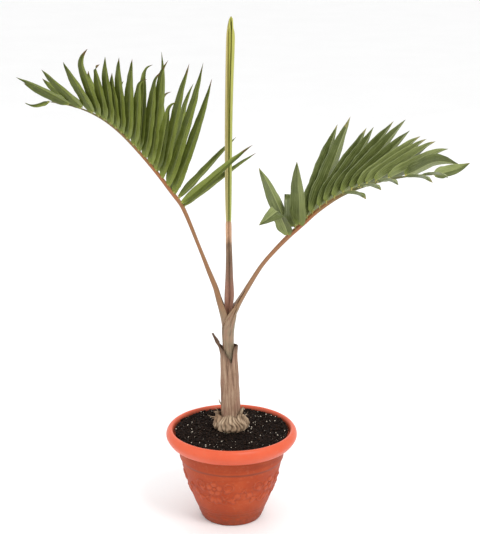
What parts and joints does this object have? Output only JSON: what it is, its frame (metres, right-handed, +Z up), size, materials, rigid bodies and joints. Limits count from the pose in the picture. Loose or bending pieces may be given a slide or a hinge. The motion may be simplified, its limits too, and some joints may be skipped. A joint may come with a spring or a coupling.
{
  "type": "potted palm",
  "caption": "Young feather palm with a swollen stem base, arching open leaves, an upright folded spear leaf and a tapered round pot filled with potting soil.",
  "frame": {"origin": "centre of the pot's flat base, on the surface it stands on", "axes": "+Z up along the pot's axis, +X towards the lower open leaf, -Y towards the side on which the dry sheath is split"},
  "size_m": [0.7928, 0.3079, 0.956],
  "materials": {
    "pot_plastic": "satin",
    "potting_soil": "matte",
    "stem_bark": "matte",
    "base_husk": "matte",
    "dry_sheath": "matte",
    "left_stalk_skin": "satin",
    "right_stalk_skin": "satin",
    "spear_stalk_skin": "satin",
    "spear_green": "satin",
    "left_leaflet_green": "satin",
    "right_leaflet_green": "satin"
  },
  "bodies": {
    "root": {"base_husk": "base_husk", "left_far_leaflet_01": "left_leaflet_green", "left_far_leaflet_02": "left_leaflet_green", "left_far_leaflet_03": "left_leaflet_green", "left_far_leaflet_04": "left_leaflet_green", "left_far_leaflet_05": "left_leaflet_green", "left_far_leaflet_06": "left_leaflet_green", "left_far_leaflet_07": "left_leaflet_green", "left_far_leaflet_08": "left_leaflet_green", "left_far_leaflet_09": "left_leaflet_green", "left_far_leaflet_10": "left_leaflet_green", "left_near_leaflet_01": "left_leaflet_green", "left_near_leaflet_02": "left_leaflet_green", "left_near_leaflet_03": "left_leaflet_green", "left_near_leaflet_04": "left_leaflet_green", "left_near_leaflet_05": "left_leaflet_green", "left_near_leaflet_06": "left_leaflet_green", "left_near_leaflet_07": "left_leaflet_green", "left_near_leaflet_08": "left_leaflet_green", "left_near_leaflet_09": "left_leaflet_green", "left_near_leaflet_10": "left_leaflet_green", "left_near_leaflet_11": "left_leaflet_green", "left_near_leaflet_12": "left_leaflet_green", "left_near_leaflet_13": "left_leaflet_green", "left_near_leaflet_14": "left_leaflet_green", "left_near_leaflet_15": "left_leaflet_green", "left_near_leaflet_16": "left_leaflet_green", "left_near_leaflet_17": "left_leaflet_green", "left_near_leaflet_18": "left_leaflet_green", "left_near_leaflet_19": "left_leaflet_green", "left_stalk": "left_stalk_skin", "old_sheath": "dry_sheath", "pot": "pot_plastic", "potting_soil": "potting_soil", "right_far_leaflet_01": "right_leaflet_green", "right_far_leaflet_02": "right_leaflet_green", "right_far_leaflet_03": "right_leaflet_green", "right_far_leaflet_04": "right_leaflet_green", "right_far_leaflet_05": "right_leaflet_green", "right_far_leaflet_06": "right_leaflet_green", "right_far_leaflet_07": "right_leaflet_green", "right_far_leaflet_08": "right_leaflet_green", "right_far_leaflet_09": "right_leaflet_green", "right_far_leaflet_10": "right_leaflet_green", "right_far_leaflet_11": "right_leaflet_green", "right_far_leaflet_12": "right_leaflet_green", "right_far_leaflet_13": "right_leaflet_green", "right_far_leaflet_14": "right_leaflet_green", "right_near_leaflet_01": "right_leaflet_green", "right_near_leaflet_02": "right_leaflet_green", "right_near_leaflet_03": "right_leaflet_green", "right_near_leaflet_04": "right_leaflet_green", "right_near_leaflet_05": "right_leaflet_green", "right_near_leaflet_06": "right_leaflet_green", "right_near_leaflet_07": "right_leaflet_green", "right_near_leaflet_08": "right_leaflet_green", "right_stalk": "right_stalk_skin", "spear_blade": "spear_green", "spear_stalk": "spear_stalk_skin", "stem": "stem_bark"}
  },
  "joints": []
}
